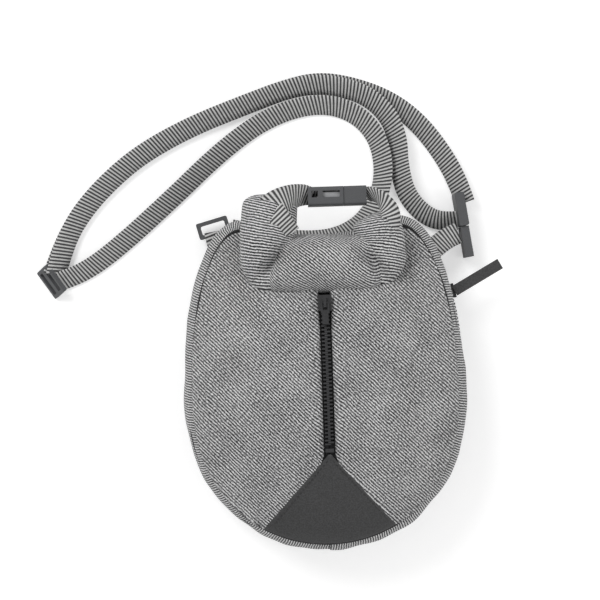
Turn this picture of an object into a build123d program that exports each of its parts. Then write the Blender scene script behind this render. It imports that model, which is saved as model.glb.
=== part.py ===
from build123d import *
import math
import os

# A roll-top camera bag lying on its back. X to its right, Y to its rolled top, Z out of its front.
# The origin is on the floor plane, in the middle of the back panel. All sizes in mm.

# Body
body_half_width = 116.0
body_low = -128.5
shoulder_y = 148.0
neck_y = 129.0
gusset_depth = 72.0
front_height = 103.0
dome_radius = 296.0
wall = 4.0
back_round = 9.0
front_round = 10.0
seam_inset = 9.0
back_inset = 11.0
piping = 3.0
neck_depth = 54.0
roll_seat_y = 80.0
strap_notch_y = 118.0
strap_notch_z = 18.0

# Roll top
roll_radius = 24.0
roll_y = 105.0
ear_left_x = -41.0
ear_left_radius = 22.5
ear_left_top = 158.0
ear_right_x = 47.0
ear_right_radius = 20.0
ear_right_top = 142.0
ear_end_round = 8.0
stiffener_thick = 1.5
stiffener_height = 30.0

# Insert
foam = 7.0
divider_x = (-38.0, 38.0)
insert_height = 60.0

# Base triangle
triangle_apex_y = -48.0
triangle_half = 52.0
triangle_side_y = -106.0

# Front zip
zip_x = 1.5
zip_half = 5.5
tooth_pitch = 3.0
tooth_half = 3.4
tooth_lap = 1.0
tooth_rise = 1.2
tape_thick = 1.6
zip_slider_long = 13.0
zip_slider_y = 72.5
zip_stop_long = 4.0
puller_long = 18.0
puller_loop = 9.0
puller_wide = 5.0
puller_thick = 1.6

# Side zip, in the right gusset
side_zip_z = 30.0
side_zip_half = 5.5
side_zip_angle = 14.0
side_post_radius = 1.9
side_post_long = 9.0
side_pin_radius = 0.8
side_tab_long = 40.0
side_tab_wide = 9.0
side_tab_thick = 2.2
side_tab_angle = 29.0

# Closure buckle
buckle_y = 159.0
buckle_z = 70.0
buckle_left = -9.0
buckle_mouth = 19.5
buckle_right = 38.0
buckle_thick = 15.0
buckle_wide = 26.0
buckle_wall = 2.6
arm_long = 20.0
arm_thick = 3.0
arm_wide = 6.0

# Webbing
web_wide = 20.0
web_thick = 1.6
web_tilt = 40.0
ring_bar = 3.2
ring_thick = 4.0
strap_z = 8.0
return_z = 10.8

# Fits
gap = 0.3
slide_gap = 0.4


def turn_radii(points, closed=False):
    """Largest radii that the runs beside each point allow."""
    pts = [Vector(*p) for p in points]
    count = len(pts)
    inner = range(count) if closed else range(1, count - 1)
    radii = []
    for i in inner:
        before = pts[i] - pts[i - 1]
        after = pts[(i + 1) % count] - pts[i]
        half_turn = math.radians(before.get_angle(after)) / 2
        radii.append(0.45 * min(before.length, after.length) / math.tan(half_turn))
    return radii


def half_outline():
    w = body_half_width
    return [(0.24 * w, body_low), (0.68 * w, 0.80 * body_low), (w, -0.38 * w), (0.975 * w, 0.535 * w),
            (0.81 * w, 0.845 * shoulder_y), (0.58 * w, shoulder_y), (0.30 * w, neck_y)]


def outline(inset=0.0):
    """The egg-shaped plan, with the same arcs at any inset."""
    right = half_outline()
    points = right + [(-x, y) for x, y in reversed(right)]
    pts = [Vector(*p) for p in points]
    radii = turn_radii(points, closed=True)
    edges = []
    ends = []
    for i, corner in enumerate(pts):
        before = (pts[i - 1] - corner).normalized()
        after = (pts[(i + 1) % len(pts)] - corner).normalized()
        half_turn = math.radians((before * -1).get_angle(after)) / 2
        reach = radii[i] * math.tan(half_turn)
        start = corner + before * reach
        finish = corner + after * reach
        bisector = (before + after).normalized()
        sink = radii[i] / math.cos(half_turn) - radii[i]
        edges.append(ThreePointArc(start, corner + bisector * sink, finish))
        ends.append((start, finish))
    for i in range(len(pts)):
        edges.append(Line(ends[i][1], ends[(i + 1) % len(pts)][0]))
    face = make_face(edges)
    return offset(face, amount=-inset) if inset else face


def slab(inset, low, high):
    return Pos(0, 0, low) * extrude(outline(inset), amount=high - low)


def block(x0, x1, y0, y1, z0, z1):
    return Pos((x0 + x1) / 2, (y0 + y1) / 2, (z0 + z1) / 2) * Box(x1 - x0, y1 - y0, z1 - z0)


FAR = 400.0
dome_z = front_height - dome_radius
roll_z = neck_depth + gap + roll_radius


def below_y(y, low=-FAR, high=FAR):
    return block(-FAR, FAR, -FAR, y, low, high)


def above_y(y, low=-FAR, high=FAR):
    return block(-FAR, FAR, y, FAR, low, high)


def ball(radius):
    return Pos(0, 0, dome_z) * Sphere(radius)


def body_space(inset, low, high, step):
    """The body's own space, less the step that the roll sits on and the notch over the strap."""
    space = slab(inset, low, high)
    space -= above_y(roll_seat_y - step, neck_depth - step)
    return space - above_y(strap_notch_y - step, -FAR, strap_notch_z + step)


def rounded_body():
    body = slab(0, 0, gusset_depth)
    rims = body.edges().group_by(Axis.Z)
    body = fillet(rims[-1], front_round)
    body = fillet(body.edges().group_by(Axis.Z)[0], back_round)
    body -= above_y(roll_seat_y, neck_depth)
    return body - above_y(strap_notch_y, -FAR, strap_notch_z)


def neck_plate_space():
    return slab(seam_inset, neck_depth - wall, neck_depth) & above_y(roll_seat_y)


def side_arc():
    """Centre, radius and first angle of the side's upper arc, which the side zip follows."""
    points = [Vector(*p) for p in half_outline()[2:5]]
    radius = turn_radii(points)[0]
    before = (points[1] - points[0]).normalized()
    run = min((points[1] - points[0]).length, (points[2] - points[1]).length)
    inward = Vector(-before.Y, before.X)
    centre = points[1] - before * (0.45 * run) + inward * radius
    return centre.X, centre.Y, radius, math.degrees(math.atan2(-inward.Y, -inward.X))


def side_shell(inner, outer, half_height, a0, a1):
    cx, cy, radius, first = side_arc()
    a0, a1 = math.radians(first + a0), math.radians(first + a1)
    far = 2 * radius
    ring = Cylinder(radius + outer, 2 * half_height) - Cylinder(radius + inner, 2 * half_height)
    corners = [(0, 0), (far * math.cos(a0), far * math.sin(a0)), (far * math.cos(a1), far * math.sin(a1))]
    wedge = Pos(0, 0, -half_height) * extrude(make_face(Polyline(*corners, close=True)), amount=2 * half_height)
    return Pos(cx, cy, side_zip_z) * (ring & wedge)


def make_gusset():
    body = rounded_body() - body_space(wall, wall, gusset_depth - wall, wall)
    body -= slab(seam_inset, gusset_depth - wall, gusset_depth) & below_y(roll_seat_y - wall)
    body -= slab(back_inset, 0, wall) & below_y(strap_notch_y - wall - back_round)
    body -= neck_plate_space()
    return body - side_shell(-wall - 1, 5, side_zip_half, 0, side_zip_angle + 2)


def make_back_panel():
    return slab(back_inset, 0, wall) & below_y(strap_notch_y - wall - back_round)


def front_shell(thick_out=0.0, thick_in=wall):
    shell = slab(seam_inset, gusset_depth, front_height + 20) & below_y(roll_seat_y)
    return (shell & ball(dome_radius + thick_out)) - ball(dome_radius - thick_in)


def triangle_prism():
    corners = [(zip_x, triangle_apex_y), (zip_x - triangle_half, triangle_side_y),
               (zip_x - triangle_half, 2 * body_low), (zip_x + triangle_half, 2 * body_low),
               (zip_x + triangle_half, triangle_side_y)]
    return extrude(make_face(Polyline(*corners, close=True)), amount=FAR)


def make_front_panel(side):
    panel = front_shell() - triangle_prism()
    if side < 0:
        return panel & block(-FAR, zip_x - zip_half, -FAR, FAR, 0, FAR)
    return panel & block(zip_x + zip_half, FAR, -FAR, FAR, 0, FAR)


def make_base_triangle():
    return front_shell() & triangle_prism()


def make_neck_front():
    plate = slab(seam_inset, gusset_depth, front_height) & ball(dome_radius - wall)
    return plate & block(-FAR, FAR, roll_seat_y - wall, roll_seat_y, gusset_depth, FAR)


def make_front_piping():
    ring = slab(seam_inset - piping, gusset_depth, gusset_depth + piping) - slab(seam_inset, 0, FAR)
    return ring & below_y(roll_seat_y)


def make_insert_wall():
    low = wall + foam + gap
    ring = slab(wall + gap, low, low + insert_height) - slab(wall + gap + foam, 0, FAR)
    ring = ring & below_y(roll_seat_y - wall - gap)
    top = roll_seat_y - wall - gap
    bar = slab(wall + gap, low, low + insert_height - 8) & block(-FAR, FAR, top - foam, top, 0, FAR)
    ring = (ring & below_y(top - foam)) + bar
    high = gusset_depth - wall - gap
    return ring & below_y(FAR, -FAR, high)


def make_insert_floor():
    return slab(wall + gap, wall, wall + foam) & below_y(roll_seat_y - wall - gap)


def make_divider(x):
    low = wall + foam + gap
    inner = slab(wall + foam + 2 * gap, low, gusset_depth - wall - gap)
    top = roll_seat_y - wall - foam - 2 * gap
    return inner & block(x - foam / 2, x + foam / 2, -FAR, top, 0, FAR)


def ear(x, radius, top):
    tube = Pos(x, (roll_y + top) / 2, roll_z) * Rot(90, 0, 0) * Cylinder(radius, top - roll_y)
    tube = fillet(tube.edges().group_by(Axis.Y)[-1], ear_end_round)
    return tube + Pos(x, roll_y, roll_z) * Sphere(radius)


def left_ear():
    return ear(ear_left_x, ear_left_radius, ear_left_top)


def right_ear():
    return ear(ear_right_x, ear_right_radius, ear_right_top)


def stiffener_space(grow):
    x0 = ear_left_x + ear_left_radius + wall - grow
    x1 = ear_right_x - ear_right_radius - wall + grow
    half = stiffener_height / 2 + grow
    thick = stiffener_thick / 2 + grow
    return block(x0, x1, roll_y - thick, roll_y + thick, roll_z - half, roll_z + half)


def make_roll_centre():
    long = ear_right_x - ear_left_x
    tube = Pos((ear_right_x + ear_left_x) / 2, roll_y, roll_z) * Rot(0, 90, 0) * Cylinder(roll_radius, long)
    return tube - left_ear() - right_ear() - stiffener_space(gap)


def dome_place(x, y, rise=0.0):
    """A place on the front dome, with Z out of it and Y up the bag."""
    lean = math.asin(y / dome_radius)
    reach = dome_radius + rise
    return Location((x, reach * math.sin(lean), dome_z + reach * math.cos(lean)), (-math.degrees(lean), 0, 0))


def zip_shell(x0, x1, inner, outer, y0, y1):
    shell = ball(dome_radius + outer) - ball(dome_radius + inner)
    return shell & block(zip_x + x0, zip_x + x1, y0, y1, gusset_depth, FAR)


def make_zip_tape(side):
    low = triangle_apex_y - 2
    x0, x1 = (-zip_half, -gap / 2) if side < 0 else (gap / 2, zip_half)
    tape = zip_shell(x0, x1, -wall, -wall + tape_thick, low, roll_seat_y)
    edge0, edge1 = (-zip_half, -tooth_half - gap) if side < 0 else (tooth_half + gap, zip_half)
    tape += zip_shell(edge0, edge1, -wall + tape_thick, -1.5, low, roll_seat_y)
    return tape - triangle_prism()


def teeth_count():
    return int((roll_seat_y - triangle_apex_y - zip_stop_long - 8) / tooth_pitch)


def make_zip_teeth(side):
    thick = tooth_rise + wall - tape_thick
    wide = tooth_half + tooth_lap
    middle = side * (tooth_half - tooth_lap) / 2
    teeth = []
    for i in range(teeth_count()):
        y = triangle_apex_y + zip_stop_long + 6 + (i + (0.5 if side > 0 else 0.0)) * tooth_pitch
        place = dome_place(zip_x + middle, y, -wall + tape_thick + thick / 2)
        teeth.append(place * Box(wide, 0.42 * tooth_pitch, thick))
    return Compound(children=teeth)


def make_zip_stop():
    thick = tooth_rise + wall - tape_thick
    y = triangle_apex_y + 3 + zip_stop_long / 2
    return dome_place(zip_x, y, -wall + tape_thick + thick / 2) * Box(2 * tooth_half, zip_stop_long - 1, thick)


def slider_top():
    return tooth_rise + slide_gap + 2.0


def make_zip_slider():
    rise = tooth_rise + slide_gap
    plate = dome_place(zip_x, zip_slider_y, rise + 1.0) * Box(2 * zip_half, zip_slider_long, 2.0)
    for side in (-1, 1):
        place = dome_place(zip_x + side * (zip_half - 0.6), zip_slider_y, rise - 0.7)
        plate += place * Box(1.2, zip_slider_long, 1.4)
    bridge = dome_place(zip_x, zip_slider_y, slider_top() + 2.0) * Box(2.4, 9.0, 4.0)
    hole = dome_place(zip_x, zip_slider_y, slider_top() + 1.6) * Box(3.0, 4.0, 2.4)
    return plate + (bridge - hole)


def make_zip_puller():
    rise = slider_top() + 1.6
    bar = dome_place(zip_x, zip_slider_y, rise) * Rot(0, 90, 0) * Cylinder(0.9, puller_wide + 2)
    place = dome_place(zip_x, zip_slider_y, rise)
    frame = Pos(0, -puller_loop / 2, 0) * Box(puller_wide + 2, puller_loop, puller_thick)
    frame -= Pos(0, -puller_loop / 2 + 2, 0) * Box(puller_wide - 1.2, puller_loop - 1, puller_thick + 1)
    blade_long = puller_long - puller_loop
    blade = Pos(0, -puller_loop - blade_long / 2, 0) * Box(puller_wide, blade_long, puller_thick)
    return place * (frame + blade) + bar


def side_place(angle, rise):
    """A place on the side arc, with X out of the wall."""
    cx, cy, radius, first = side_arc()
    a = math.radians(first + angle)
    reach = radius + rise
    return Location((cx + reach * math.cos(a), cy + reach * math.sin(a), side_zip_z), (0, 0, first + angle))


def make_side_tapes():
    return side_shell(-wall, -wall + tape_thick, side_zip_half - gap / 2, 0.1, side_zip_angle + 1.9)


def make_side_teeth():
    radius = side_arc()[2]
    step = math.degrees(tooth_pitch / radius)
    teeth = []
    for i in range(int((side_zip_angle - 1) / step)):
        shift = 0.8 if i % 2 else -0.8
        place = side_place(1.0 + i * step, -wall + tape_thick + 1.6)
        teeth.append(place * Pos(0, 0, shift) * Box(3.2, 0.6 * tooth_pitch, 5.0))
    return Compound(children=teeth)


def side_slider_reach():
    return -wall + tape_thick + 3.2 + slide_gap


def side_pin_reach():
    return side_slider_reach() + 2.0 + side_post_radius - 0.6


def make_side_slider():
    angle = side_zip_angle - 1.6
    plate = side_place(angle, side_slider_reach() + 1.0) * Box(2.0, 12.0, 9.0)
    post = side_place(angle, side_pin_reach()) * Cylinder(side_post_radius, side_post_long)
    bore = side_place(angle, side_pin_reach()) * Cylinder(side_pin_radius + gap, 2 * side_post_long)
    return plate + post - bore


def make_side_tab():
    origin = side_place(side_zip_angle - 1.6, side_pin_reach()).position
    turn = Location((origin.X, origin.Y, origin.Z), (0, 0, side_tab_angle))
    low = side_post_long / 2 + gap
    root = 2.0
    body = Pos(side_tab_long / 2, 0, low + side_tab_thick / 2)
    body = body * Box(side_tab_long + 2 * root, side_tab_wide, side_tab_thick)
    return turn * (body + Cylinder(side_pin_radius, 2 * low))


def make_buckle_female():
    x0, x1 = buckle_left, buckle_mouth
    hy, hz = buckle_thick / 2, buckle_wide / 2
    shell = block(x0, x1, buckle_y - hy, buckle_y + hy, buckle_z - hz, buckle_z + hz)
    shell = fillet(shell.edges().filter_by(Axis.X), 2.0)
    shell -= block(x0 + 6, x1 + 1, buckle_y - hy + buckle_wall, buckle_y + hy - buckle_wall,
                   buckle_z - hz + buckle_wall, buckle_z + hz - buckle_wall)
    for start, finish in ((x0 + 3, x0 + 8), (x0 + 12, x1 - 3)):
        shell -= block(start, finish, buckle_y - 1.0, buckle_y + 4.2, buckle_z - FAR, buckle_z + FAR)
    return shell


def make_buckle_male():
    x0, x1 = buckle_mouth + gap, buckle_right
    hy, hz = buckle_thick / 2, buckle_wide / 2
    body = block(x0, x1, buckle_y - hy, buckle_y + hy, buckle_z - hz + 1, buckle_z + hz - 1)
    body = fillet(body.edges().filter_by(Axis.X), 2.0)
    tongue = block(x0 - 16, x0, buckle_y - 2, buckle_y + 2, buckle_z - 2, buckle_z + 2)
    return body + tongue


def make_latch_arm(side):
    z = buckle_z + side * (buckle_wide / 2 - buckle_wall - gap - 0.3 - arm_thick / 2)
    x1 = buckle_mouth - gap
    hy = arm_wide / 2
    arm = block(x1 - arm_long, x1, buckle_y - hy, buckle_y + hy, z - arm_thick / 2, z + arm_thick / 2)
    return fillet(arm.edges().filter_by(Axis.Y).group_by(Axis.X)[0], 1.0)


def ribbon(points, tilt, wide=web_wide, thick=web_thick, name=""):
    """Flat webbing along level runs joined by tangent arcs, leaning by its tilt."""
    radii = turn_radii(points)
    path = FilletPolyline(*points, radius=radii)
    if name:
        print(name, "radii", [round(r) for r in radii], "length", round(path.length, 1))
    along = path % 0
    side = Vector(0, 0, 1).cross(along)
    plane = Plane(origin=path @ 0, x_dir=side, z_dir=along)
    section = plane * Rot(0, 0, tilt) * Rectangle(wide, thick)
    solid = sweep(section, path=path)
    if name:
        print(name, "volume ratio", round(solid.volume / (wide * thick * path.length), 4))
    return solid


def level(points, z):
    return [(x, y, z) for x, y in points]


inner_run = [(-74, 139), (-44, 132), (-12, 126.5), (18, 129), (42, 144), (57, 174), (54, 210), (34, 234),
             (2, 243), (-40, 232), (-80, 205), (-125, 164), (-172, 124), (-202, 104), (-220, 99)]
outer_run = [(-226, 104), (-217, 128), (-201, 155), (-178, 180), (-148, 204), (-105, 226), (-55, 244),
             (-20, 256), (5, 260), (32, 255), (62, 243), (86, 224), (106, 197), (119, 171), (124, 154)]
return_run = [(117, 139), (103, 138), (87, 146), (74, 163), (69, 187), (69, 210), (61, 231), (44, 247),
              (22, 255), (2, 258), (-22, 255), (-55, 244), (-105, 226), (-148, 204), (-178, 180),
              (-201, 155), (-216, 128), (-223, 104)]


def make_closure_left():
    return ribbon(level([(-39, ear_left_top + 1.2), (-31, 163), (-20, 163), (buckle_left - gap, buckle_y)],
                        buckle_z), 90)


def make_closure_right():
    return ribbon(level([(buckle_right + gap, buckle_y), (45, 157), (48, 151), (47, ear_right_top + gap)],
                        buckle_z), 90)


ring_place = Pos(-89, 139.5, 12) * Rot(0, 0, 15)
lock_place = Pos(121.5, 132, 15) * Rot(0, 0, 8)
slider_place = Pos(-227, 99, 9) * Rot(0, 0, -56) * Rot(50, 0, 0)


def make_strap_ring():
    ring = Box(27, 14, ring_thick) - Box(27 - 2 * ring_bar, 14 - 2 * ring_bar, FAR)
    return ring_place * fillet(ring.edges().filter_by(Axis.Z), 1.5)


def make_left_tab():
    wide = web_wide - 0.5
    room = (ring_bar + 2 * gap, ring_thick + 2 * gap)
    loop = Box(wide, room[0] + 2 * web_thick, room[1] + 2 * web_thick) - Box(FAR, room[0], room[1])
    tail = Pos(0, -18, 0) * Box(wide, 30, 2 * web_thick)
    tail -= Box(FAR, room[0] + web_thick, FAR)
    tab = ring_place * Pos(0, ring_bar / 2 - 7, 0) * (loop + tail)
    return largest(tab - rounded_body())


def make_lock_body():
    body = Pos(0, 16, 0) * Box(8, 28, 27)
    return lock_place * fillet(body.edges().filter_by(Axis.Z), 1.5)


def make_lock_foot():
    return lock_place * Pos(0, -11.5, 0) * Box(7, 26, 22)


def make_right_tab():
    tab = Pos(104, 125, 21) * Rot(0, 0, -40) * Box(web_wide, 34, 2 * web_thick)
    return largest(tab - rounded_body() - make_lock_foot() - make_lock_body())


def slider_block():
    return slider_place * Box(27, 18, 3.5)


def make_strap_slider():
    frame = Box(27, 18, 3.5)
    for side in (-1, 1):
        frame -= Pos(0, side * 4.4, 0) * Box(web_wide + 1, 4.6, FAR)
    return slider_place * fillet(frame.edges().filter_by(Axis.Z), 1.0)


def largest(shape):
    return max(shape.solids(), key=lambda solid: solid.volume)


def strap(points, z, tilt, name, *stops):
    """A run of the shoulder strap, ending where it meets its fittings."""
    run = ribbon(level(points, z), tilt, name=name)
    for stop in stops:
        run = largest(run - stop)
    return run


def main():
    os.makedirs("parts", exist_ok=True)
    nodes = {
        "gusset": make_gusset(),
        "back_panel": make_back_panel(),
        "front_panel_left": make_front_panel(-1),
        "front_panel_right": make_front_panel(1),
        "base_triangle": make_base_triangle(),
        "neck_top": neck_plate_space(),
        "neck_front": make_neck_front(),
        "front_piping": make_front_piping(),
        "insert_wall": make_insert_wall(),
        "insert_floor": make_insert_floor(),
        "divider_left": make_divider(divider_x[0]),
        "divider_right": make_divider(divider_x[1]),
        "roll_centre": make_roll_centre(),
        "roll_end_left": left_ear(),
        "roll_end_right": right_ear(),
        "roll_stiffener": stiffener_space(0.0),
        "closure_web_left": make_closure_left(),
        "closure_web_right": make_closure_right(),
        "buckle_female": make_buckle_female(),
        "buckle_male": make_buckle_male(),
        "latch_arm_front": make_latch_arm(1),
        "latch_arm_back": make_latch_arm(-1),
        "front_zip_tape_left": make_zip_tape(-1),
        "front_zip_tape_right": make_zip_tape(1),
        "front_zip_teeth_left": make_zip_teeth(-1),
        "front_zip_teeth_right": make_zip_teeth(1),
        "front_zip_stop": make_zip_stop(),
        "front_zip_slider": make_zip_slider(),
        "front_zip_puller": make_zip_puller(),
        "side_zip_tapes": make_side_tapes(),
        "side_zip_teeth": make_side_teeth(),
        "side_zip_slider": make_side_slider(),
        "side_pull_tab": make_side_tab(),
        "strap_tab_left": make_left_tab(),
        "strap_ring": make_strap_ring(),
        "strap_tab_right": make_right_tab(),
        "strap_lock_body": make_lock_body(),
        "strap_lock_foot": make_lock_foot(),
        "strap_slider": make_strap_slider(),
        "strap_inner_run": strap(inner_run, strap_z, -web_tilt, "inner", make_strap_ring(), slider_block()),
        "strap_outer_run": strap(outer_run, strap_z, web_tilt, "outer", slider_block(), make_lock_body()),
        "strap_return_run": strap(return_run, return_z, -web_tilt, "return", slider_block(), make_lock_body()),
    }
    for name, solid in nodes.items():
        export_step(solid, f"parts/{name}.step")


main()
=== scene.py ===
import math

import bpy
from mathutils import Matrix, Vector, kdtree, noise


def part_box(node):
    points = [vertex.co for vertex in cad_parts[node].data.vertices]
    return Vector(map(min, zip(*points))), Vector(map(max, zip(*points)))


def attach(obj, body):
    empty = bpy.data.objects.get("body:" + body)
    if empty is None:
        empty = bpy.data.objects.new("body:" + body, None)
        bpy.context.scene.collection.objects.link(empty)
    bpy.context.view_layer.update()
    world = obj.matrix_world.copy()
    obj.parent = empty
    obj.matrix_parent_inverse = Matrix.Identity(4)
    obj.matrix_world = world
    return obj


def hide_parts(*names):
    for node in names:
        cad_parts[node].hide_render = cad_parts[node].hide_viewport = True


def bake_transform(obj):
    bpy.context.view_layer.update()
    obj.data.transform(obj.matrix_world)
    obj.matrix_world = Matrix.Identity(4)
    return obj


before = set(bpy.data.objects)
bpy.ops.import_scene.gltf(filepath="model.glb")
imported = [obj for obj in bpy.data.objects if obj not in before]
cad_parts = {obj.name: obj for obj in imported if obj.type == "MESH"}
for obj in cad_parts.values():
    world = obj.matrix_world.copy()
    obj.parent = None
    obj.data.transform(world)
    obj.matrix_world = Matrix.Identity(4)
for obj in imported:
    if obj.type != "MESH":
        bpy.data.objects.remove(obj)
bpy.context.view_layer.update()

MM = 0.001
TAU = 2 * math.pi


# ---------------------------------------------------------------- camera

CAMERA_HEIGHT = 1.4
AIM = (-0.01805, 0.07633)
TURN = math.radians(1.9)
LENS = 98.82


def set_camera():
    data = bpy.data.cameras.new("camera")
    data.lens = LENS
    data.sensor_width = 36
    camera = bpy.data.objects.new("camera", data)
    camera.location = (AIM[0], AIM[1], CAMERA_HEIGHT)
    camera.rotation_euler = (0, 0, -TURN)
    bpy.context.scene.collection.objects.link(camera)
    bpy.context.scene.camera = camera


# ---------------------------------------------------------------- sizes from the frame

BODY_LOW, BODY_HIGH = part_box("gusset")
HALF_WIDTH = 116.0
LOW_Y = BODY_LOW[1] / MM
SHOULDER_Y = 148.0
NECK_Y = 129.0
RIM_Z = BODY_HIGH[2] / MM
FRONT_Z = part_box("front_panel_left")[1][2] / MM
DOME = 296.0
SEAM_INSET = 9.0
ZIP_X = 1.5
ZIP_HALF = 5.6
APEX = (ZIP_X, -48.0)
TRIANGLE_HALF = 50.0
TRIANGLE_SIDE_Y = -103.0
SEAT_Y = 80.0
ROLL_Z = (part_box("roll_centre")[0][2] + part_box("roll_centre")[1][2]) / 2 / MM

PANEL_COLUMNS = 64
CROWN_REACH = 16.0
SEAM_CORD_RADIUS = 1.5
BACK_INSET = 13.0
BACK_LIFT = 19.0
BACK_LIFT_Y = 108.0
ROLL_RADIUS = 23.6
LEFT_END_RADIUS = 22.4
RIGHT_END_RADIUS = 19.8
CREASE_DEEP = 15.0
CREASE_REACH = 15.0
CREASE_HALF = 4.6
FLOOR_HALF = 3000.0

WEB_WIDE = 20.0
WEB_THICK = 1.6
WEB_TILT = 40.0
STRAP_Z = 8.0
RETURN_Z = 10.8

INNER_RUN = [(-74, 139), (-44, 132), (-12, 126.5), (18, 129), (42, 144), (57, 174), (54, 210), (34, 234),
             (2, 243), (-40, 232), (-80, 205), (-125, 164), (-172, 124), (-202, 104), (-220, 99)]
OUTER_RUN = [(-226, 104), (-217, 128), (-201, 155), (-178, 180), (-148, 204), (-105, 226), (-55, 244),
             (-20, 256), (5, 260), (32, 255), (62, 243), (86, 224), (106, 197), (119, 171), (124, 154)]
RETURN_RUN = [(117, 139), (103, 138), (87, 146), (74, 163), (69, 187), (69, 210), (61, 231), (44, 247),
              (22, 255), (2, 258), (-22, 255), (-55, 244), (-105, 226), (-148, 204), (-178, 180),
              (-201, 155), (-216, 128), (-223, 104)]


# ---------------------------------------------------------------- mesh helpers

def new_piece(name, verts, faces, uvs=None, smooth=True):
    """A mesh whose points are in mm, with one flat map of its cloth, in mm too."""
    mesh = bpy.data.meshes.new(name)
    mesh.from_pydata([(v[0] * MM, v[1] * MM, v[2] * MM) for v in verts], [], faces)
    if uvs:
        layer = mesh.uv_layers.new(name="Cloth")
        for loop in mesh.loops:
            layer.data[loop.index].uv = uvs[loop.vertex_index]
    for polygon in mesh.polygons:
        polygon.use_smooth = smooth
    mesh.update()
    piece = bpy.data.objects.new(name, mesh)
    bpy.context.scene.collection.objects.link(piece)
    return piece


def grid_faces(rows, columns, wrap_rows=False, wrap_columns=False):
    faces = []
    for i in range(rows if wrap_rows else rows - 1):
        for j in range(columns if wrap_columns else columns - 1):
            a, b = i * columns + j, ((i + 1) % rows) * columns + j
            c, d = ((i + 1) % rows) * columns + (j + 1) % columns, i * columns + (j + 1) % columns
            faces.append((a, d, c, b))
    return faces


def apply_modifiers(piece):
    evaluated = piece.evaluated_get(bpy.context.evaluated_depsgraph_get())
    mesh = bpy.data.meshes.new_from_object(evaluated)
    piece.modifiers.clear()
    piece.data = mesh


def thicken(piece, thick, offset=-1.0):
    solid = piece.modifiers.new("thickness", "SOLIDIFY")
    solid.thickness = thick * MM
    solid.offset = offset
    apply_modifiers(piece)


def ripple(x, y, z, size, height, seed=0.0):
    """A gentle unevenness, of the given size and height in mm."""
    return height * noise.noise(Vector((x / size + seed, y / size - seed, z / size + 2 * seed)))


def smoothstep(low, high, value):
    t = min(1.0, max(0.0, (value - low) / (high - low)))
    return t * t * (3 - 2 * t)


def smooth_line(name, points):
    """Points of the smooth line that has the given route as its control points."""
    curve = bpy.data.curves.new(name + "_line", "CURVE")
    curve.dimensions = "3D"
    curve.resolution_u = 16
    spline = curve.splines.new("NURBS")
    spline.points.add(len(points) - 1)
    for point, place in zip(spline.points, points):
        point.co = (place[0] * MM, place[1] * MM, place[2] * MM, 1.0)
    spline.order_u = 3
    spline.use_endpoint_u = True
    line = bpy.data.objects.new(name + "_line", curve)
    bpy.context.scene.collection.objects.link(line)
    mesh = bpy.data.meshes.new_from_object(line)
    result = [vertex.co / MM for vertex in mesh.vertices]
    bpy.data.objects.remove(line)
    return result


def directions(line):
    last = len(line) - 1
    return [(line[min(i + 1, last)] - line[max(i - 1, 0)]).normalized() for i in range(last + 1)]


def webbing(name, line, across, wide=WEB_WIDE, thick=WEB_THICK):
    """Flat webbing along a line, with rounded edges. Across gives its width's direction."""
    half, rim = wide / 2, thick / 2
    section = [(-half, 0), (-half + 0.5, rim), (-half / 3, rim * 0.9), (half / 3, rim * 0.9),
               (half - 0.5, rim), (half, 0), (half - 0.5, -rim), (half / 3, -rim * 0.9),
               (-half / 3, -rim * 0.9), (-half + 0.5, -rim)]
    verts, uvs, run = [], [], 0.0
    for i, (place, along) in enumerate(zip(line, directions(line))):
        run += (place - line[i - 1]).length if i else 0.0
        wide_way = (across[i] - along * across[i].dot(along)).normalized()
        out = along.cross(wide_way)
        for a, b in section:
            verts.append(place + wide_way * a + out * b)
            uvs.append((run, a))
    count = len(section)
    faces = grid_faces(len(line), count, wrap_columns=True)
    faces.append(tuple(range(count)))
    faces.append(tuple(reversed(range((len(line) - 1) * count, len(line) * count))))
    return new_piece(name, verts, faces, uvs)


# ---------------------------------------------------------------- the shoulder strap

def lean(line, tilt):
    angle = math.radians(tilt)
    up = Vector((0, 0, 1))
    return [up.cross(along).normalized() * math.cos(angle) + up * math.sin(angle)
            for along in directions(line)]


def strap_run(name, route, z, tilt, node):
    line = smooth_line(name, [(x, y, z) for x, y in route])
    piece = webbing(name, line, lean(line, tilt))
    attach(piece, "root")
    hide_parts(node)
    return piece


set_camera()
straps = [strap_run("strap_inner_cloth", INNER_RUN, STRAP_Z, -WEB_TILT, "strap_inner_run"),
          strap_run("strap_outer_cloth", OUTER_RUN, STRAP_Z, WEB_TILT, "strap_outer_run"),
          strap_run("strap_return_cloth", RETURN_RUN, RETURN_Z, -WEB_TILT, "strap_return_run")]


# ---------------------------------------------------------------- the body's cloth

def outline_corners():
    w = HALF_WIDTH
    right = [(0.24 * w, LOW_Y), (0.68 * w, 0.80 * LOW_Y), (w, -0.38 * w), (0.975 * w, 0.535 * w),
             (0.81 * w, 0.845 * SHOULDER_Y), (0.58 * w, SHOULDER_Y), (0.30 * w, NECK_Y)]
    return [Vector(p) for p in right + [(-x, y) for x, y in reversed(right)]]


def outline_points(steps=26):
    """The egg-shaped plan as one smooth closed line that touches the middle of each side of its corners."""
    corners = outline_corners()
    points = []
    for i, middle in enumerate(corners):
        start = (corners[i - 1] + middle) / 2
        finish = (middle + corners[(i + 1) % len(corners)]) / 2
        for k in range(steps):
            t = k / steps
            points.append(start * (1 - t) ** 2 + middle * 2 * t * (1 - t) + finish * t * t)
    return points


OUTLINE = outline_points()
COUNT = len(OUTLINE)


def outward(i):
    along = OUTLINE[(i + 1) % COUNT] - OUTLINE[i - 1]
    return Vector((along.y, -along.x)).normalized()


OUTWARD = [outward(i) for i in range(COUNT)]


def rim_height(y):
    """Height of the front seam: lower at the neck, where the roll lies on it."""
    return RIM_Z + 3.0 - 16.0 * smoothstep(SEAT_Y - 8, SEAT_Y + 45, y)


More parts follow.
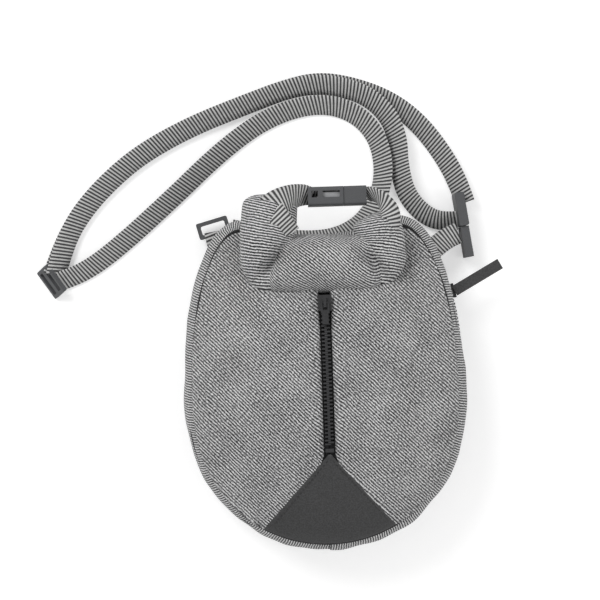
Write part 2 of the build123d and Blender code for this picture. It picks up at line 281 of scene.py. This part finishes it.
def front_height(x, y):
    dome = FRONT_Z - DOME + math.sqrt(max(1.0, DOME * DOME - x * x - min(y, 110.0) ** 2))
    sink = smoothstep(SEAT_Y - 14, SEAT_Y + 36, y)
    return dome * (1 - sink) + (rim_height(y) + 2.0) * sink


def inset_point(i, inset):
    return OUTLINE[i % COUNT] - OUTWARD[i % COUNT] * inset


def seam_points():
    tree = kdtree.KDTree(COUNT)
    for i in range(COUNT):
        spot = inset_point(i, SEAM_INSET)
        tree.insert((spot.x, spot.y, 0.0), i)
    tree.balance()
    return tree


SEAM = seam_points()


def front_surface(x, y):
    """The front's height, which rounds down to the seam over the reach of its crown."""
    from_seam = SEAM.find((x, y, 0.0))[2]
    crown = math.sqrt(1 - (1 - min(1.0, from_seam / CROWN_REACH)) ** 2)
    rim = rim_height(y) - 2.0
    to_zip = abs(x - ZIP_X) - ZIP_HALF if y > APEX[1] else 30.0
    soft = smoothstep(0, 14, from_seam) * smoothstep(0, 9, to_zip)
    uneven = ripple(x, y, 0, 46, 3.0, 1.3) + ripple(x, y, 0, 19, 0.9, 5.3)
    return rim + (front_height(x, y) - rim) * crown + soft * uneven


# How far the side band lies inside the outline, and how high, from the back to the front seam.
GUSSET_PROFILE = [(14, 0.4), (8, 1.0), (3.5, 5), (0.8, 13), (-0.4, 24), (-1.0, 36), (-0.6, 48),
                  (0.4, 58), (2.2, 66), (4.6, 71.5), (7.0, 74.0), (8.6, 74.4), (9.4, 72.5)]
GUSSET_HIGH = 75.0
GUSSET_STEP = 6.4


def make_gusset():
    """The side band: it bulges past the seams and puckers a little along them."""
    verts, uvs, run = [], [], 0.0
    for i in range(COUNT + 1):
        k = i % COUNT
        run += (OUTLINE[k] - OUTLINE[k - 1]).length if i else 0.0
        across = 0.0
        top = rim_height(OUTLINE[k].y)
        raise_back = BACK_LIFT * smoothstep(BACK_LIFT_Y, 126, OUTLINE[k].y)
        for j, (inset, z) in enumerate(GUSSET_PROFILE):
            height = raise_back + (z / GUSSET_HIGH) * (top - raise_back)
            pucker = (ripple(run, 0, j * 2, 17, 1.5, 3.1) * smoothstep(30, 74, z)
                      + ripple(run, z, 0, 38, 1.6, 7.7))
            spot = OUTLINE[k] - OUTWARD[k] * (inset - pucker * (1 if 1 < j < 11 else 0))
            verts.append((spot.x, spot.y, height))
            across += GUSSET_STEP if j else 0.0
            uvs.append((run, across))
    faces = [tuple(reversed(face)) for face in grid_faces(COUNT + 1, len(GUSSET_PROFILE))]
    piece = new_piece("gusset_cloth", verts, faces, uvs)
    thicken(piece, 2.2)
    return piece


def seam_span(first_y, side):
    """Outline numbers from the triangle's corner, up one side, to the top of the neck."""
    numbers = [i for i in range(COUNT) if OUTLINE[i].x * side > 0]
    numbers = [i for i in numbers if OUTLINE[i].y > first_y or abs(OUTLINE[i].x) > TRIANGLE_HALF - 2]
    return sorted(numbers, key=lambda i: (i if side > 0 else -i) % COUNT)


def make_front_panel(side):
    """One half of the front, between the seam, the triangle and the zip."""
    numbers = seam_span(0.0, side)
    rows, columns = len(numbers), PANEL_COLUMNS
    foot = inset_point(numbers[0], SEAM_INSET)
    tuck = Vector((side * -2.2, -1.2))
    edge_x = ZIP_X + side * ZIP_HALF
    apex = Vector((edge_x, APEX[1] - 2.0))
    top = Vector((edge_x, NECK_Y - SEAM_INSET))
    verts, uvs = [], []
    for r, number in enumerate(numbers):
        s = r / (rows - 1)
        if s < 0.25:
            inner = foot.lerp(apex, s / 0.25) + tuck * math.sin(math.pi * s * 4)
        else:
            inner = apex.lerp(top, (s - 0.25) / 0.75)
        seam = inset_point(number, SEAM_INSET)
        for c in range(columns):
            t = (c / (columns - 1)) ** 1.5
            spot = seam.lerp(inner, t)
            height = front_surface(spot.x, spot.y)
            to_zip = abs(spot.x - edge_x) if spot.y > APEX[1] else 30.0
            height -= 1.6 * (1 - smoothstep(0, 3.0, to_zip))
            height += 0.5 * math.exp(-((to_zip - 5.5) / 2.2) ** 2)
            under_roll = math.exp(-(max(0.0, abs(spot.x) - 58) / 14) ** 2)
            height -= 3.0 * under_roll * smoothstep(84, 104, spot.y)
            leather_half = TRIANGLE_HALF * (APEX[1] - spot.y) / (APEX[1] - TRIANGLE_SIDE_Y)
            to_leather = abs(spot.x - ZIP_X) - leather_half
            height -= 0.9 * (1 - smoothstep(0.0, 3.0, to_leather)) if spot.y < APEX[1] else 0.0
            verts.append((spot.x, spot.y, height))
            uvs.append((spot.x, spot.y))
    faces = grid_faces(rows, columns)
    if side < 0:
        faces = [tuple(reversed(face)) for face in faces]
    name = "front_cloth_right" if side > 0 else "front_cloth_left"
    piece = new_piece(name, verts, faces, uvs)
    thicken(piece, 2.0)
    return piece


def triangle_bottom():
    """Seam points along the bottom, from the triangle's left corner to its right one."""
    points = [inset_point(i, SEAM_INSET - 0.6) for i in range(COUNT)]
    low = [p for p in points if p.y < TRIANGLE_SIDE_Y + 1 and abs(p.x) < TRIANGLE_HALF + 4]
    return sorted(low, key=lambda p: p.x)


def triangle_height(x, y):
    return front_surface(x, y) + 0.3


def make_triangle():
    bottom = triangle_bottom()
    rows, columns = len(bottom), PANEL_COLUMNS
    apex = Vector((ZIP_X, APEX[1] + 3.0))
    verts, uvs = [], []
    for place in bottom:
        for c in range(columns):
            t = c / (columns - 1)
            spot = place.lerp(apex, t ** 1.6 * 0.985)
            height = triangle_height(spot.x, spot.y)
            verts.append((spot.x, spot.y, height))
            uvs.append((spot.x, spot.y))
    faces = [tuple(reversed(face)) for face in grid_faces(rows, columns)]
    piece = new_piece("base_triangle_leather", verts, faces, uvs)
    thicken(piece, 1.6, 1.0)
    return piece


# Middle and direction of the hollow at each end of the roll.
CREASES = [((-39.0, 107.0), (0.66, 0.75)), ((42.0, 103.0), (-0.62, 0.78))]


def crease_depth(x, y):
    """Depth of the two hollows where the roll's ends fold up from its middle."""
    depth = 0.0
    for (cx, cy), (ax, ay) in CREASES:
        along = (x - cx) * ax + (y - cy) * ay
        across = (x - cx) * ay - (y - cy) * ax
        depth += CREASE_DEEP * math.exp(-(along / CREASE_REACH) ** 2 - (across / CREASE_HALF) ** 2)
    return depth


def tube(name, line, radius_at, around=72, wobble=0.8, seed=0.0, creased=False):
    """A soft tube along a line. Radius_at gives its radius from 0 to 1 along the line."""
    verts, uvs, run = [], [], 0.0
    for i, (place, along) in enumerate(zip(line, directions(line))):
        run += (place - line[i - 1]).length if i else 0.0
        side = along.cross(Vector((0, 0, 1))).normalized()
        up = side.cross(along)
        radius = radius_at(i / (len(line) - 1))
        for k in range(around + 1):
            angle = TAU * k / around
            reach = radius + ripple(math.cos(angle) * 20, math.sin(angle) * 20, run, 14, wobble, seed)
            spot = place + side * (math.cos(angle) * reach) + up * (math.sin(angle) * reach)
            if creased and spot.z > ROLL_Z:
                fade = smoothstep(ROLL_Z, ROLL_Z + 12, spot.z)
                spot.z -= crease_depth(spot.x, spot.y) * fade
            verts.append(spot)
            uvs.append((run, radius * angle))
    faces = grid_faces(len(line), around + 1)
    faces.append(tuple(range(around)))
    last_ring = (len(line) - 1) * (around + 1)
    faces.append(tuple(reversed(range(last_ring, last_ring + around))))
    return new_piece(name, verts, [tuple(reversed(face)) for face in faces], uvs)


def dome_share(t, reach):
    """Share of the full radius at t along a domed end that has the given reach."""
    return math.sqrt(max(0.003, 1 - (1 - min(1.0, t / reach)) ** 2))


def domed(radius, start_reach, end_reach):
    """A radius for tube: full in the middle, and rounded off over the reach of each end."""
    return lambda t: radius * min(dome_share(t, start_reach), dome_share(1 - t, end_reach))


def make_roll():
    """The rolled top: a thick middle, and two ends folded up beside it."""
    left_low, left_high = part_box("roll_end_left")
    right_low, right_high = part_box("roll_end_right")
    left_x = (left_low[0] + left_high[0]) / 2 / MM
    right_x = (right_low[0] + right_high[0]) / 2 / MM
    y = (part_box("roll_centre")[0][1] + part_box("roll_centre")[1][1]) / 2 / MM
    middle = smooth_line("roll", [(left_x - 9, y + 2, ROLL_Z), (left_x + 14, y - 1, ROLL_Z),
                                  (0, y + 0.5, ROLL_Z), (24, y - 2, ROLL_Z), (right_x + 7, y, ROLL_Z)])
    centre = tube("roll_middle_cloth", middle, domed(ROLL_RADIUS, 0.12, 0.12),
                  seed=2.2, wobble=1.1, creased=True)
    left = smooth_line("left", [(left_x + 1, left_low[1] / MM, ROLL_Z), (left_x - 2, y + 5, ROLL_Z + 1),
                                (left_x - 1, y + 30, ROLL_Z),
                                (left_x + 3, left_high[1] / MM + 4, ROLL_Z - 1)])
    left_end = tube("roll_end_left_cloth", left, domed(LEFT_END_RADIUS, 0.3, 0.1),
                    seed=4.4, wobble=1.4, creased=True)
    right = smooth_line("right", [(right_x + 1, right_low[1] / MM, ROLL_Z),
                                  (right_x + 1, y + 4, ROLL_Z + 1), (right_x + 1, y + 22, ROLL_Z),
                                  (right_x - 4, right_high[1] / MM + 2, ROLL_Z - 1)])
    right_end = tube("roll_end_right_cloth", right, domed(RIGHT_END_RADIUS, 0.32, 0.14),
                     seed=6.6, wobble=1.4, creased=True)
    return centre, left_end, right_end


def make_seam_shade_cord():
    """A thin near-black cord along the front seam: its dark colour is painted shade for the seam's groove.
    """
    line = []
    for i in range(COUNT + 1):
        spot = inset_point(i, SEAM_INSET - 0.4)
        line.append(Vector((spot.x, spot.y, rim_height(spot.y) - 0.9)))
    return tube("front_seam_shade_cord", line, lambda t: SEAM_CORD_RADIUS, around=10, wobble=0.15)


def make_back():
    """The back panel: a flat oval sheet with a padded face."""
    rows = 24
    verts, uvs = [], []
    for i in range(COUNT):
        for r in range(rows):
            t = r / (rows - 1)
            spot = inset_point(i, BACK_INSET) * (1 - t)
            lift = BACK_LIFT * smoothstep(BACK_LIFT_Y, 120, spot.y)
            verts.append((spot.x, spot.y, 0.4 + lift + 1.2 * (1 - smoothstep(0, 0.12, t))))
            uvs.append((spot.x, spot.y))
    faces = [tuple(reversed(face)) for face in grid_faces(COUNT, rows, wrap_rows=True)]
    piece = new_piece("back_cloth", verts, faces, uvs)
    thicken(piece, 2.0, 1.0)
    return piece


gusset = make_gusset()
front_left = make_front_panel(-1)
front_right = make_front_panel(1)
triangle = make_triangle()
roll_middle, roll_left, roll_right = make_roll()
seam_shade_cord = make_seam_shade_cord()
back = make_back()


# ---------------------------------------------------------------- stitches

def stitches(name, line, long=2.4, space=1.3, thick=0.32):
    """A row of thread stitches: each one is a short bead that sinks at its ends."""
    verts, faces = [], []
    gone, target = 0.0, 0.0
    for a, b in zip(line, line[1:]):
        step = (b - a).length
        while step > 0 and target <= gone + step:
            place = a.lerp(b, (target - gone) / step)
            along = (b - a).normalized()
            side = along.cross(Vector((0, 0, 1))).normalized()
            start = len(verts)
            for k in range(5):
                t = k / 4
                size = thick * (0.45 + 0.55 * math.sin(math.pi * t))
                spot = place + along * (long * (t - 0.5)) + Vector((0, 0, 0.25 * math.sin(math.pi * t)))
                for m in range(6):
                    angle = TAU * m / 6
                    rise = Vector((0, 0, size * math.sin(angle)))
                    verts.append(spot + side * (size * math.cos(angle)) + rise)
            for k in range(4):
                ring = start + 6 * k
                for m in range(6):
                    n = (m + 1) % 6
                    faces.append((ring + m, ring + n, ring + 6 + n, ring + 6 + m))
            faces.append(tuple(start + m for m in reversed(range(6))))
            faces.append(tuple(start + 24 + m for m in range(6)))
            target += long + space
        gone += step
    return new_piece(name, verts, faces)


def on_front(x, y, rise=0.0):
    return Vector((x, y, front_surface(x, y) + rise))


def triangle_edge(side, inset):
    foot = Vector((ZIP_X + side * (TRIANGLE_HALF - 3 - inset), TRIANGLE_SIDE_Y + 2.0))
    tip = Vector((ZIP_X + side * 1.0, APEX[1] + 1.0 - 1.4 * inset))
    line = []
    for i in range(60):
        spot = foot.lerp(tip, i / 59)
        line.append(Vector((spot.x, spot.y, triangle_height(spot.x, spot.y) + 1.8)))
    return line


def zip_edge(side):
    x = ZIP_X + side * (ZIP_HALF + 3.2)
    return [on_front(x, y, 0.35) for y in range(int(APEX[1]) + 4, int(SEAT_Y) + 2, 2)]


triangle_stitches = [stitches("triangle_stitch_left", triangle_edge(-1, 2.4)),
                     stitches("triangle_stitch_right", triangle_edge(1, 2.4))]
zip_stitches = [stitches("zip_stitch_left", zip_edge(-1)), stitches("zip_stitch_right", zip_edge(1))]


# ---------------------------------------------------------------- closure webbing

def turning(line, first, last, low=0.0, high=1.0):
    """Width directions that turn smoothly from the first to the last along a line."""
    across = []
    for i in range(len(line)):
        t = smoothstep(low, high, i / (len(line) - 1))
        across.append((Vector(first) * (1 - t) + Vector(last) * t).normalized())
    return across


def closure_left():
    line = smooth_line("closure_left", [(-43, 148, 96), (-37, 153, 99), (-28, 157, 97), (-18, 159.5, 86),
                                        (-10, 159.5, 74), (-1.5, 159.5, 71)])
    return webbing("closure_cloth_left", line, turning(line, (-0.50, 0.86, 0.0), (0.0, 0.55, 0.8)))


def closure_left_fold():
    """The webbing's other face, folded back under and down into the left end."""
    line = smooth_line("closure_left_fold", [(-38, 150, 97.5), (-33, 143, 100), (-29, 136, 99),
                                             (-24, 129, 94)])
    across = turning(line, (0.9, 0.42, 0.0), (0.9, 0.42, 0.0))
    return webbing("closure_fold_left", line, across, wide=17.0)


def closure_right():
    line = smooth_line("closure_right", [(37.5, 159.5, 71), (43, 160, 80), (50, 154, 91), (56, 145, 95),
                                         (57, 134, 95), (54, 124, 93)])
    return webbing("closure_cloth_right", line, turning(line, (0.0, 0.5, 0.85), (0.9, 0.3, -0.3)), wide=15.0)


def tab(name, places, first, wide):
    line = smooth_line(name, places)
    return webbing(name, line, turning(line, first, first), wide, 2 * WEB_THICK)


web_left = closure_left()
web_fold = closure_left_fold()
web_right = closure_right()
ring_low, ring_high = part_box("strap_ring")
ring_y = (ring_low[1] + ring_high[1]) / 2 / MM
left_places = [(-87, ring_y - 3, 15.6), (-86, ring_y - 9, 15.4), (-84.5, ring_y - 15, 13),
               (-82, ring_y - 22, 12)]
right_places = [(90, 112, 30), (98, 118, 26), (107, 124.5, 23), (116, 128, 20)]
tab_left = tab("strap_tab_left_cloth", left_places, (0.966, 0.259, 0), 19.5)
tab_right = tab("strap_tab_right_cloth", right_places, (-0.55, 0.83, 0.1), 18.0)


# ---------------------------------------------------------------- materials

def hex_colour(text):
    parts = [int(text[i:i + 2], 16) / 255 for i in (1, 3, 5)]
    linear = [c / 12.92 if c <= 0.04045 else ((c + 0.055) / 1.055) ** 2.4 for c in parts]
    return (*linear, 1.0)


def add(tree, kind, settings=None, **links):
    """A node with its settings, and its inputs set or joined to other sockets."""
    node = tree.nodes.new(kind)
    for key, value in (settings or {}).items():
        setattr(node, key, value)
    for key, value in links.items():
        number = int(key[1:]) if key[0] == "i" and key[1:].isdigit() else key.replace("_", " ")
        socket = node.inputs[number]
        if isinstance(value, bpy.types.NodeSocket):
            tree.links.new(value, socket)
        else:
            socket.default_value = value
    return node


def new_material(name):
    material = bpy.data.materials.new(name)
    material.use_nodes = True
    tree = material.node_tree
    tree.nodes.clear()
    shader = tree.nodes.new("ShaderNodeBsdfPrincipled")
    output = tree.nodes.new("ShaderNodeOutputMaterial")
    tree.links.new(shader.outputs[0], output.inputs[0])
    return material, tree, shader


def ramp(tree, value, stops):
    node = add(tree, "ShaderNodeValToRGB", i0=value)
    elements = node.color_ramp.elements
    while len(elements) < len(stops):
        elements.new(0.5)
    for element, (place, colour) in zip(elements, stops):
        element.position = place
        element.color = hex_colour(colour)
    return node.outputs[0]


def finish_surface(tree, shader, colour, rough, height=None, depth=0.3, sheen=0.0):
    tree.links.new(colour, shader.inputs["Base Color"])
    shader.inputs["Roughness"].default_value = rough
    shader.inputs["Sheen Weight"].default_value = sheen
    if height is not None:
        bump = add(tree, "ShaderNodeBump", Strength=0.6, Distance=depth * MM, Height=height)
        tree.links.new(bump.outputs[0], shader.inputs["Normal"])


def wool_twill(name, line_mm=2.1, slope=-45.0, contrast=1.0):
    """Heathered wool twill: fine slanting ribs of dark and pale yarns, with broken flecks."""
    material, tree, shader = new_material(name)
    cloth = add(tree, "ShaderNodeUVMap", {"uv_map": "Cloth"}).outputs[0]
    turned = add(tree, "ShaderNodeMapping", Vector=cloth, Rotation=(0, 0, math.radians(slope))).outputs[0]
    split = add(tree, "ShaderNodeSeparateXYZ", Vector=turned)
    drift = add(tree, "ShaderNodeTexNoise", Vector=cloth, Scale=0.12, Detail=2.0).outputs[0]
    across = add(tree, "ShaderNodeMath", {"operation": "MULTIPLY_ADD"}, i0=drift, i1=1.4,
                 i2=split.outputs[0]).outputs[0]
    turns = add(tree, "ShaderNodeMath", {"operation": "MULTIPLY"}, i0=across, i1=TAU / line_mm).outputs[0]
    rib = add(tree, "ShaderNodeMath", {"operation": "SINE"}, i0=turns).outputs[0]
    stretched = add(tree, "ShaderNodeMapping", Vector=turned, Scale=(1.1, 0.55, 1.0)).outputs[0]
    fleck = add(tree, "ShaderNodeTexNoise", Vector=stretched, Scale=1.0, Detail=3.0,
                Roughness=0.75).outputs[0]
    patch = add(tree, "ShaderNodeTexNoise", Vector=cloth, Scale=0.035, Detail=3.0).outputs[0]
    mixed = add(tree, "ShaderNodeMath", {"operation": "MULTIPLY_ADD"}, i0=rib, i1=0.13 * contrast,
                i2=fleck).outputs[0]
    toned = add(tree, "ShaderNodeMath", {"operation": "MULTIPLY_ADD"}, i0=patch, i1=0.12,
                i2=mixed).outputs[0]
    colour = ramp(tree, toned, [(0.38, "#151516"), (0.48, "#474748"), (0.58, "#868687"),
                                (0.71, "#e4e4e4")])
    finish_surface(tree, shader, colour, 0.92, mixed, 0.9, 0.15)
    return material


def striped_webbing(name, stripe_mm=2.9):
    """Woven polyester webbing with dark and pale weft bands: crisp slanting stripes and a ribbed edge."""
    material, tree, shader = new_material(name)
    cloth = add(tree, "ShaderNodeUVMap", {"uv_map": "Cloth"}).outputs[0]
    split = add(tree, "ShaderNodeSeparateXYZ", Vector=cloth)
    slant = add(tree, "ShaderNodeMath", {"operation": "MULTIPLY_ADD"}, i0=split.outputs[1], i1=0.16,
                i2=split.outputs[0]).outputs[0]
    turns = add(tree, "ShaderNodeMath", {"operation": "MULTIPLY"}, i0=slant, i1=TAU / stripe_mm).outputs[0]
    band = add(tree, "ShaderNodeMath", {"operation": "SINE"}, i0=turns).outputs[0]
    fray = add(tree, "ShaderNodeTexNoise", Vector=cloth, Scale=1.3, Detail=2.0).outputs[0]
    rough_band = add(tree, "ShaderNodeMath", {"operation": "MULTIPLY_ADD"}, i0=fray, i1=1.2,
                     i2=band).outputs[0]
    level = add(tree, "ShaderNodeMath", {"operation": "MULTIPLY_ADD"}, i0=rough_band, i1=0.3,
                i2=0.32).outputs[0]
    colour = ramp(tree, level, [(0.30, "#3a3a3b"), (0.48, "#7c7c7c"), (0.66, "#cfcfce")])
    warp = add(tree, "ShaderNodeMath", {"operation": "MULTIPLY"}, i0=split.outputs[1],
               i1=TAU / 1.1).outputs[0]
    rib = add(tree, "ShaderNodeMath", {"operation": "SINE"}, i0=warp).outputs[0]
    height = add(tree, "ShaderNodeMath", {"operation": "MULTIPLY_ADD"}, i0=rib, i1=0.4, i2=band).outputs[0]
    finish_surface(tree, shader, colour, 0.8, height, 0.25, 0.1)
    return material


def object_noise(tree, grain_mm, detail=3.0):
    place = add(tree, "ShaderNodeTexCoord").outputs["Object"]
    return add(tree, "ShaderNodeTexNoise", Vector=place, Scale=1.0 / (grain_mm * MM),
               Detail=detail).outputs[0]


def grained(name, dark, pale, grain_mm, rough, depth, sheen=0.0):
    """A surface whose tone and relief follow one fine grain."""
    material, tree, shader = new_material(name)
    grain = object_noise(tree, grain_mm)
    finish_surface(tree, shader, ramp(tree, grain, [(0.35, dark), (0.65, pale)]), rough, grain, depth, sheen)
    return material


def smooth_leather():
    """Black full-grain leather, drum dyed: a soft grey sheen over fine pebbles."""
    return grained("smooth_leather", "#2e2e2e", "#404041", 1.1, 0.5, 0.18)


def moulded_nylon():
    """Dark nylon, injection moulded with a spark-eroded finish: an even satin grey."""
    return grained("moulded_nylon", "#47484a", "#57585a", 0.5, 0.45, 0.05)


def latch_highlight_nylon():
    """Mid-grey nylon for the latch arms, a lit copy of the buckle's dark nylon: painted highlight that makes
    them stand out inside the dark windows.
    """
    return grained("latch_highlight_nylon", "#9a9b9d", "#adaeb0", 0.5, 0.42, 0.05)


def moulded_teeth():
    """Black acetal teeth, moulded on to the tape: small crisp glints."""
    return grained("moulded_teeth", "#262627", "#38383a", 0.7, 0.32, 0.04)


def woven_tape():
    """Black woven zip tape: matt, with a fine nap."""
    return grained("woven_tape", "#1b1b1c", "#2c2c2d", 0.6, 0.9, 0.2, 0.1)


def painted_zinc():
    """Black painted zinc slider: darker and glossier than the teeth."""
    return grained("painted_zinc", "#1c1c1e", "#29292b", 1.5, 0.3, 0.03)


def brushed_lining():
    """Brushed nylon over foam: dark, soft and without shine."""
    return grained("brushed_lining", "#202124", "#303136", 1.6, 0.95, 0.3, 0.3)


def sewing_thread():
    """Black bonded thread: it catches a little more light than the cloth."""
    return grained("sewing_thread", "#242425", "#3a3a3b", 0.5, 0.6, 0.05)


def dress(piece, material):
    piece.data.materials.clear()
    piece.data.materials.append(material)


front_twill = wool_twill("wool_twill_front")
side_twill = wool_twill("wool_twill_side", slope=4.0, contrast=1.5)
roll_twill = wool_twill("wool_twill_roll", slope=-48.0, contrast=1.3)
end_twill = wool_twill("wool_twill_ends", slope=8.0, contrast=1.5)
stripe = striped_webbing("striped_webbing")
leather = smooth_leather()
nylon = moulded_nylon()
latch_nylon_painted_highlight = latch_highlight_nylon()
teeth_plastic = moulded_teeth()
tape = woven_tape()
zinc = painted_zinc()
lining = brushed_lining()
thread = sewing_thread()


# ---------------------------------------------------------------- dressing and riding

def soft(piece, material, slot, *nodes):
    dress(piece, material)
    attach(piece, "root")
    if nodes:
        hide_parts(*nodes)


soft(gusset, side_twill, "twill", "gusset")
soft(front_left, front_twill, "twill", "front_panel_left")
soft(front_right, front_twill, "twill", "front_panel_right")
soft(triangle, leather, "leather", "base_triangle")
soft(roll_middle, roll_twill, "twill", "roll_centre")
soft(roll_left, end_twill, "twill", "roll_end_left")
soft(roll_right, end_twill, "twill", "roll_end_right")
# the seam cord wears the black tape finish as painted shade for the seam's groove
soft(seam_shade_cord, tape, "twill", "front_piping")
soft(back, front_twill, "twill", "back_panel")
soft(web_left, stripe, "webbing", "closure_web_left")
soft(web_fold, stripe, "webbing")
soft(tab_left, stripe, "webbing", "strap_tab_left")
soft(tab_right, stripe, "webbing", "strap_tab_right")
dress(web_right, stripe)
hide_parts("closure_web_right")
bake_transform(web_right)
for piece in straps:
    dress(piece, stripe)
for piece in triangle_stitches + zip_stitches:
    soft(piece, thread, "twill")

node_finishes = [
    (lining, ["neck_top", "neck_front", "insert_wall", "insert_floor", "divider_left",
              "divider_right"]),
    (nylon, ["roll_stiffener", "buckle_female", "buckle_male", "strap_ring", "strap_lock_body",
             "strap_lock_foot", "strap_slider"]),
    # the latch arms get the paler nylon as a painted highlight against the shaded windows
    (latch_nylon_painted_highlight, ["latch_arm_front", "latch_arm_back"]),
    (tape, ["front_zip_tape_left", "front_zip_tape_right", "side_zip_tapes"]),
    (teeth_plastic, ["front_zip_teeth_left", "front_zip_teeth_right", "front_zip_stop",
                     "side_zip_teeth"]),
    (zinc, ["front_zip_slider", "front_zip_puller", "side_zip_slider"]),
    (leather, ["side_pull_tab"]),
]
for finish, names in node_finishes:
    for name in names:
        dress(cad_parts[name], finish)


# ---------------------------------------------------------------- floor and light

def make_floor():
    """A white sweep: its own glow is only for the camera, and the bag's shadow stays on it."""
    far = FLOOR_HALF
    floor = new_piece("floor", [(-far, -far, 0), (far, -far, 0), (far, far, 0), (-far, far, 0)],
                      [(0, 1, 2, 3)])
    material = bpy.data.materials.new("white_sweep")
    material.use_nodes = True
    tree = material.node_tree
    tree.nodes.clear()
    matt = add(tree, "ShaderNodeBsdfDiffuse", Color=hex_colour("#f4f4f4")).outputs[0]
    seen = add(tree, "ShaderNodeLightPath").outputs["Is Camera Ray"]
    part = add(tree, "ShaderNodeMath", {"operation": "MULTIPLY"}, i0=seen, i1=0.35).outputs[0]
    glow = add(tree, "ShaderNodeEmission", Color=(1, 1, 1, 1), Strength=part).outputs[0]
    both = add(tree, "ShaderNodeAddShader", i0=matt, i1=glow).outputs[0]
    add(tree, "ShaderNodeOutputMaterial", Surface=both)
    floor.data.materials.append(material)


def add_lamp(name, place, aim, size, power):
    data = bpy.data.lights.new(name, "AREA")
    data.shape = "DISK"
    data.size = size
    data.energy = power
    lamp = bpy.data.objects.new(name, data)
    lamp.location = place
    lamp.rotation_euler = (Vector(aim) - Vector(place)).to_track_quat("-Z", "Y").to_euler()
    bpy.context.scene.collection.objects.link(lamp)


def set_light():
    world = bpy.data.worlds.new("studio")
    bpy.context.scene.world = world
    world.use_nodes = True
    sky = world.node_tree.nodes["Background"]
    sky.inputs[0].default_value = (1, 1, 1, 1)
    sky.inputs[1].default_value = 0.55
    add_lamp("key", (-0.9, 1.1, 1.6), (0, 0.05, 0), 1.0, 17)
    add_lamp("fill", (1.2, -0.4, 1.5), (0, 0.05, 0), 1.2, 7)


make_floor()
set_light()
scene = bpy.context.scene
scene.view_settings.view_transform = "Standard"
